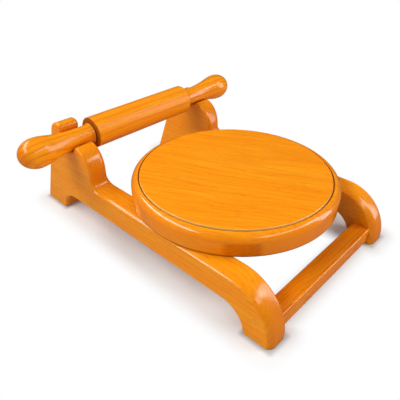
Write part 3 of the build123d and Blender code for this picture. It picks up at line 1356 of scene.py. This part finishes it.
@dataclass
class Hardware:
    """The CAD nodes that keep their own shape: fasteners, rod, bushes and washers."""

    wood: PlainFinish = PlainFinish(
        "bare_wood", Marks(1 / 30, 1 / 1800, 3.0, 0.6),
        (0.62, 0.42, 0.24), (0.42, 0.25, 0.12), roughness=(0.55, 0.2), mark_depth=0.05 * MM,
    )
    steel: PlainFinish = PlainFinish(
        "steel", Marks(1 / 4000, 1 / 400, 3.0, 0.6),
        (0.60, 0.60, 0.61), (0.42, 0.41, 0.40), roughness=(0.26, 0.18), mark_depth=0.01 * MM,
        stains=Marks(1 / 160, 1 / 160), metallic=1.0,
    )
    plastic: PlainFinish = PlainFinish(
        "plastic", Marks(1 / 2200, 1 / 2200),
        (0.020, 0.017, 0.015), (0.045, 0.038, 0.032), roughness=(0.42, 0.15),
        mark_depth=0.03 * MM,
    )

    def build(self) -> None:
        """Gives each node its finish."""
        finishes = {
            "stretcher_dowels": self.wood, "board_screws": self.steel, "pin_rod": self.steel,
            "left_washer": self.steel, "right_washer": self.steel,
            "left_bush": self.plastic, "right_bush": self.plastic,
        }
        for node, finish in finishes.items():
            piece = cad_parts[node]
            material = replace(finish, name=f"{node}_{finish.name}").material()
            if not piece.material_slots:
                piece.data.materials.append(material)
            for material_slot in piece.material_slots:
                material_slot.material = material
            log.info("%s keeps its shape", node)


@dataclass(frozen=True)
class Softbox:
    """A rectangular lamp that faces the middle of the object.

    Its azimuth goes from +X towards +Y and its elevation up from the horizon, in degrees. Its
    distance, width and height are in metres and its power is in watts.
    """

    name: str
    azimuth: float
    elevation: float
    distance: float
    size: Point
    power: float

    def build(self, aim: Vector) -> None:
        """Hangs the lamp.

        Args:
            aim: the point that it faces.
        """
        lamp = bpy.data.lights.new(self.name, "AREA")
        lamp.shape = "RECTANGLE"
        lamp.size, lamp.size_y = self.size
        lamp.energy = self.power
        holder = bpy.data.objects.new(self.name, lamp)
        bpy.context.scene.collection.objects.link(holder)
        level, up = direction(self.elevation)
        outward = Vector((*(direction(self.azimuth) * level), up))
        holder.location = aim + outward * self.distance
        holder.rotation_euler = outward.to_track_quat("Z", "Y").to_euler()


@dataclass
class Studio:
    """The pale floor, the soft lights and the camera."""

    camera_place: Vector = field(default_factory=lambda: Vector((-352.85, -324.83, 353.03)) * MM)
    yaw: float = -46.954
    pitch: float = -34.232
    roll: float = 0.387
    focal_pixels: float = 432.68
    frame_pixels: float = 400.0
    sensor: float = 36.0
    clip: Point = (0.01, 50.0)
    aim: Vector = field(default_factory=lambda: Vector((0.0, 0.0, 60.0)) * MM)
    lamps: tuple[Softbox, ...] = (
        Softbox("key_back_left", 138.0, 46.0, 1.6, (2.2, 0.4), 25.0),
        Softbox("tall_front_right", -44.0, 22.0, 1.7, (0.5, 1.5), 12.5),
        Softbox("wide_front", -80.0, 42.0, 1.6, (1.6, 0.35), 8.0),
    )
    floor_reach: float = 6.0
    floor_colour: float = 0.78
    floor_roughness: float = 0.8
    floor_glow: float = 0.10
    floor_mirrored: float = 0.13
    surround: float = 0.30
    reflected_surround: float = 0.035
    stand_middle: Point = (5.0 * MM, 0.0)
    rail_middle: float = 108.0 * MM
    rail_half: Point = (13.5 * MM, 190.0 * MM)
    feet: tuple[Point, ...] = ((-180.4 * MM, 16.5 * MM), (174.7 * MM, 22.0 * MM))
    bar_front: float = -178.6 * MM
    shadow_reach: float = 30.0 * MM
    contact_reach: float = 7.0 * MM
    contact_shade: float = 0.5

    def build(self) -> None:
        """Makes the whole studio."""
        self.world()
        self.floor()
        for lamp in self.lamps:
            lamp.build(self.aim)
        self.camera()
        bpy.context.scene.view_settings.view_transform = "Standard"

    def world(self) -> None:
        """A soft grey surround, darker in reflections, that the camera sees as white."""
        world = bpy.data.worlds.new("surround")
        shader = Shader(world)
        kind = "ShaderNodeBackground"
        seen = shader.node(kind, {}, {"Color": (self.surround,) * 3}).outputs[0]
        seen = shader.for_ray("Is Glossy Ray", 1.0, seen, kind, self.reflected_surround)
        shader.feed(shader.output, shader.for_ray("Is Camera Ray", 1.0, seen, kind, 1.0))
        bpy.context.scene.world = world

    def floor(self) -> None:
        """A wide pale floor that keeps the shadows near the board and is plain white beyond."""
        reach = self.floor_reach
        corners = np.array([
            (-reach, -reach, 0), (reach, -reach, 0), (reach, reach, 0), (-reach, reach, 0),
        ])
        floor = add_mesh("floor", corners, [[0, 1, 2, 3]])
        shader = Shader(bpy.data.materials.new("floor_white"))
        from_rail, from_bar, from_foot = self.distances(shader)
        near = self.floor_glow
        share = near + (1.0 - near) * from_rail.least(from_bar).between(0.0, self.shadow_reach)
        shade = from_foot.between(0.0, self.contact_reach)
        colour, contact = (self.floor_colour,) * 3, (self.contact_shade * self.floor_colour,) * 3
        seen = shader.principled({
            "Base Color": shader.mix(shade, contact, colour),
            "Roughness": self.floor_roughness,
            "Specular IOR Level": 0.0,
        })
        kind = "ShaderNodeEmission"
        seen = shader.for_ray("Is Camera Ray", share, seen, kind, 1.0)
        seen = shader.for_ray("Is Glossy Ray", 1.0, seen, kind, self.floor_mirrored)
        shader.feed(shader.output, seen)
        floor.data.materials.append(shader.owner)

    def distances(self, shader: Shader) -> tuple[Signal, Signal, Signal]:
        """How far a place on the floor lies from what stands on it or just above it.

        Args:
            shader: the floor's material under construction.

        Returns:
            The distances from the rails, from the stretcher and from the feet, in metres.
        """
        x, along, _ = shader.parts(shader.node("ShaderNodeTexCoord").outputs["Object"])
        across = abs(x - self.stand_middle[0])
        beside = (abs(across - self.rail_middle) - self.rail_half[0]).positive()
        beyond = (abs(along) - self.rail_half[1]).positive()
        past, before = (across - self.rail_middle).positive(), along - self.bar_front
        front, rear = ((abs(along - middle) - half).positive() for middle, half in self.feet)
        off = front.least(rear)
        from_rail, from_bar, from_foot = (
            (one * one + other * other).root()
            for one, other in ((beside, beyond), (past, before), (beside, off))
        )
        return from_rail, from_bar, from_foot

    def camera(self) -> None:
        """The camera, at the photograph's place, angle and width of view."""
        yaw, pitch, roll = (math.radians(a) for a in (self.yaw, self.pitch, self.roll))
        forward = Vector((-math.sin(yaw) * math.cos(pitch), math.cos(yaw) * math.cos(pitch),
                          math.sin(pitch)))
        level = forward.cross(Vector((0, 0, 1))).normalized()
        upright = level.cross(forward)
        right = level * math.cos(roll) + upright * math.sin(roll)
        up = upright * math.cos(roll) - level * math.sin(roll)
        lens = bpy.data.cameras.new("photo_camera")
        lens.sensor_fit = "HORIZONTAL"
        lens.sensor_width = self.sensor
        lens.lens = self.focal_pixels / self.frame_pixels * self.sensor
        lens.clip_start, lens.clip_end = self.clip
        holder = bpy.data.objects.new("photo_camera", lens)
        turn = Matrix((right, up, -forward)).transposed().to_4x4()
        holder.matrix_world = Matrix.Translation(self.camera_place) @ turn
        bpy.context.scene.collection.objects.link(holder)
        bpy.context.scene.camera = holder


def main() -> None:
    """Builds the rolling board's pieces in order, then the studio round them."""
    logging.basicConfig(level=logging.INFO)
    left_wood = VarnishedWood(
        "left_rail_varnish", Slot.RAIL, grain_angle=90.0, seed=(3.0, 44.0, 9.0),
        coat=0.8, coat_roughness=0.15,
    )
    right_wood = VarnishedWood(
        "right_rail_varnish", Slot.RAIL, grain_angle=90.0, seed=(70.0, -20.0, 31.0),
        coat=0.7, coat_roughness=0.16,
    )
    parts = [
        RollingBoard(),
        SideRail(
            Side.LEFT, horn_width=42.1 * MM, brow_to_slot=9.6 * MM, front_rise=50.2 * MM,
            rear_rise=69.8 * MM, horn_edge=9.0 * MM, finish=left_wood,
        ),
        SideRail(
            Side.RIGHT, horn_width=40.9 * MM, brow_to_slot=2.9 * MM, front_rise=44.7 * MM,
            rear_rise=51.7 * MM, horn_edge=12.5 * MM, finish=right_wood,
        ),
        FrontStretcher(),
        RollingPin(),
        Hardware(),
        Studio(),
    ]
    for part in parts:
        part.build()


if __name__ == "__main__":
    main()
